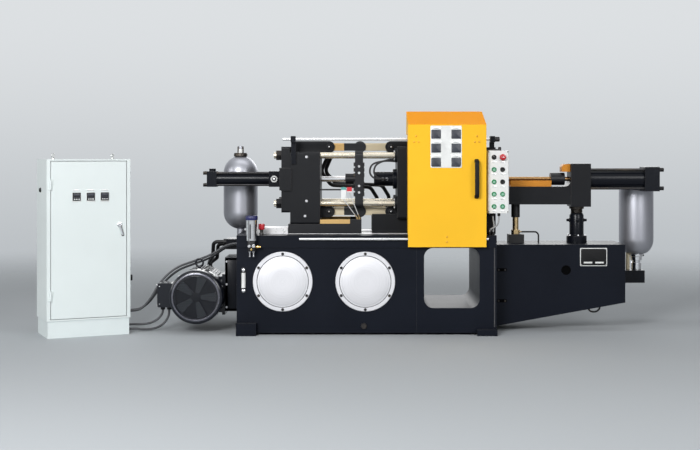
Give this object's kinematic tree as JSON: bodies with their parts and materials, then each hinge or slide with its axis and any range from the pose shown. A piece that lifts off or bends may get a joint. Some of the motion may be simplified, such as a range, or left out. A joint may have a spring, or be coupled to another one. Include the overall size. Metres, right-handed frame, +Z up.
{
  "type": "die casting machine",
  "caption": "Small horizontal cold-chamber die casting machine with toggle clamp, sliding guard, gas bottles, pump motor and a separate electric cabinet.",
  "frame": {"origin": "on the floor at the centre of the bed's anchor bolt pattern", "axes": "+X along the machine towards the injection end, -Y towards the operator's front side, +Z up"},
  "size_m": [3.857, 1.0051, 1.349],
  "materials": {
    "bed_paint": "satin",
    "black_paint": "satin",
    "motor_paint": "gloss",
    "bright_steel": "polished",
    "link_steel": "machined",
    "cover_aluminium": "satin",
    "guard_yellow": "satin",
    "tray_orange": "satin",
    "black_plastic": "matte",
    "panel_white": "satin",
    "zinc_sheet": "galvanised",
    "button_plastic": "gloss",
    "bottle_grey": "metallic",
    "chrome_fittings": "polished",
    "red_plastic": "gloss",
    "gauge_glass": "gloss",
    "cable_grey": "matte"
  },
  "bodies": {
    "machine": {"oil_tank": "bed_paint", "die_bay": "bed_paint", "injection_bed": "bed_paint", "bed_feet": "bed_paint", "rear_platen": "black_paint", "rear_platen_shoe": "black_paint", "fixed_platen": "black_paint", "cylinder_barrels": "black_paint", "cylinder_caps": "black_paint", "injection_frame": "black_paint", "support_jack": "black_paint", "rail_brackets": "black_paint", "bottle_blocks": "black_paint", "motor_bracket": "black_paint", "hydraulic_pump": "black_paint", "motor_frame": "motor_paint", "motor_fan_cowl": "motor_paint", "motor_terminal_box": "motor_paint", "tie_bars": "bright_steel", "tie_bar_nuts": "bright_steel", "cylinder_tie_rods": "bright_steel", "slideways": "bright_steel", "shot_sleeve": "bright_steel", "guard_rails": "bright_steel", "tank_covers": "cover_aluminium", "plunger_tray": "tray_orange", "cable_glands": "black_plastic", "hydraulic_pipes": "black_plastic", "control_panel": "panel_white", "cabinet_body": "panel_white", "cabinet_plinth": "panel_white", "limit_switches": "panel_white", "mounting_plate": "zinc_sheet", "push_buttons": "button_plastic", "shot_bottle": "bottle_grey", "clamp_bottle": "bottle_grey", "lubricator": "chrome_fittings", "shutoff_valve": "red_plastic", "level_gauge": "gauge_glass", "control_cable": "cable_grey", "sensor_cable": "cable_grey", "motor_cable": "cable_grey", "pump_cable": "cable_grey", "panel_cable_left": "cable_grey", "panel_cable_right": "cable_grey"},
    "guard": {"guard_hood": "guard_yellow", "guard_handle": "black_plastic", "guard_hangers": "black_plastic"},
    "door": {"cabinet_door": "panel_white", "door_fittings": "black_plastic"},
    "upper_rear": {"upper_rear_link": "link_steel"},
    "upper_front": {"upper_front_link": "link_steel"},
    "platen": {"moving_platen": "black_paint", "ejector_cylinder": "black_paint"},
    "lower_rear": {"lower_rear_link": "link_steel"},
    "lower_front": {"lower_front_link": "link_steel"},
    "crosshead": {"crosshead": "black_paint"},
    "upper_short": {"upper_short_link": "link_steel"},
    "lower_short": {"lower_short_link": "link_steel"},
    "plunger": {"plunger": "bright_steel"}
  },
  "joints": [
    {"name": "guard_slide", "type": "slide", "parent": "machine", "child": "guard", "axis": [-1, 0, 0], "range_m": [0, 0.46]},
    {"name": "cabinet_door", "type": "hinge", "parent": "machine", "child": "door", "pos_m": [-1.85429, -0.51815, 0.5], "axis": [0, 0, -1], "range_deg": [0, 110]},
    {"name": "clamp", "type": "hinge", "parent": "machine", "child": "upper_rear", "pos_m": [-0.231, 0, 1.13], "axis": [0, 1, 0], "range_deg": [0, 50.4]},
    {"name": "upper_knee", "type": "hinge", "parent": "upper_rear", "child": "upper_front", "pos_m": [-0.0385, 0, 1.13], "axis": [0, -1, 0], "range_deg": [0, 100.82]},
    {"name": "upper_platen_pin", "type": "hinge", "parent": "upper_front", "child": "platen", "pos_m": [0.154, 0, 1.13], "axis": [0, 1, 0], "range_deg": [0, 50.41]},
    {"name": "lower_rear_pin", "type": "hinge", "parent": "machine", "child": "lower_rear", "pos_m": [-0.231, 0, 0.73], "axis": [0, -1, 0], "range_deg": [0, 50.41]},
    {"name": "lower_knee", "type": "hinge", "parent": "lower_rear", "child": "lower_front", "pos_m": [-0.0385, 0, 0.73], "axis": [0, 1, 0], "range_deg": [0, 100.82]},
    {"name": "crosshead_slide", "type": "slide", "parent": "machine", "child": "crosshead", "axis": [-1, 0, 0], "range_m": [0, 0.18632]},
    {"name": "upper_short_pin", "type": "hinge", "parent": "crosshead", "child": "upper_short", "pos_m": [-0.0385, 0, 1.01], "axis": [0, 1, 0], "range_deg": [0, 103.59]},
    {"name": "lower_short_pin", "type": "hinge", "parent": "crosshead", "child": "lower_short", "pos_m": [-0.0385, 0, 0.85], "axis": [0, -1, 0], "range_deg": [0, 103.59]},
    {"name": "shot", "type": "slide", "parent": "machine", "child": "plunger", "axis": [-1, 0, 0], "range_m": [0, 0.205]}
  ],
  "couplings": [
    {"joint": "upper_knee", "follows": "clamp", "ratio": 2},
    {"joint": "upper_platen_pin", "follows": "clamp", "ratio": 1},
    {"joint": "lower_rear_pin", "follows": "clamp", "ratio": 1},
    {"joint": "lower_knee", "follows": "clamp", "ratio": 2},
    {"joint": "crosshead_slide", "follows": "clamp", "m_per_rad": 0.21176},
    {"joint": "upper_short_pin", "follows": "clamp", "ratio": 2.055},
    {"joint": "lower_short_pin", "follows": "clamp", "ratio": 2.055}
  ]
}
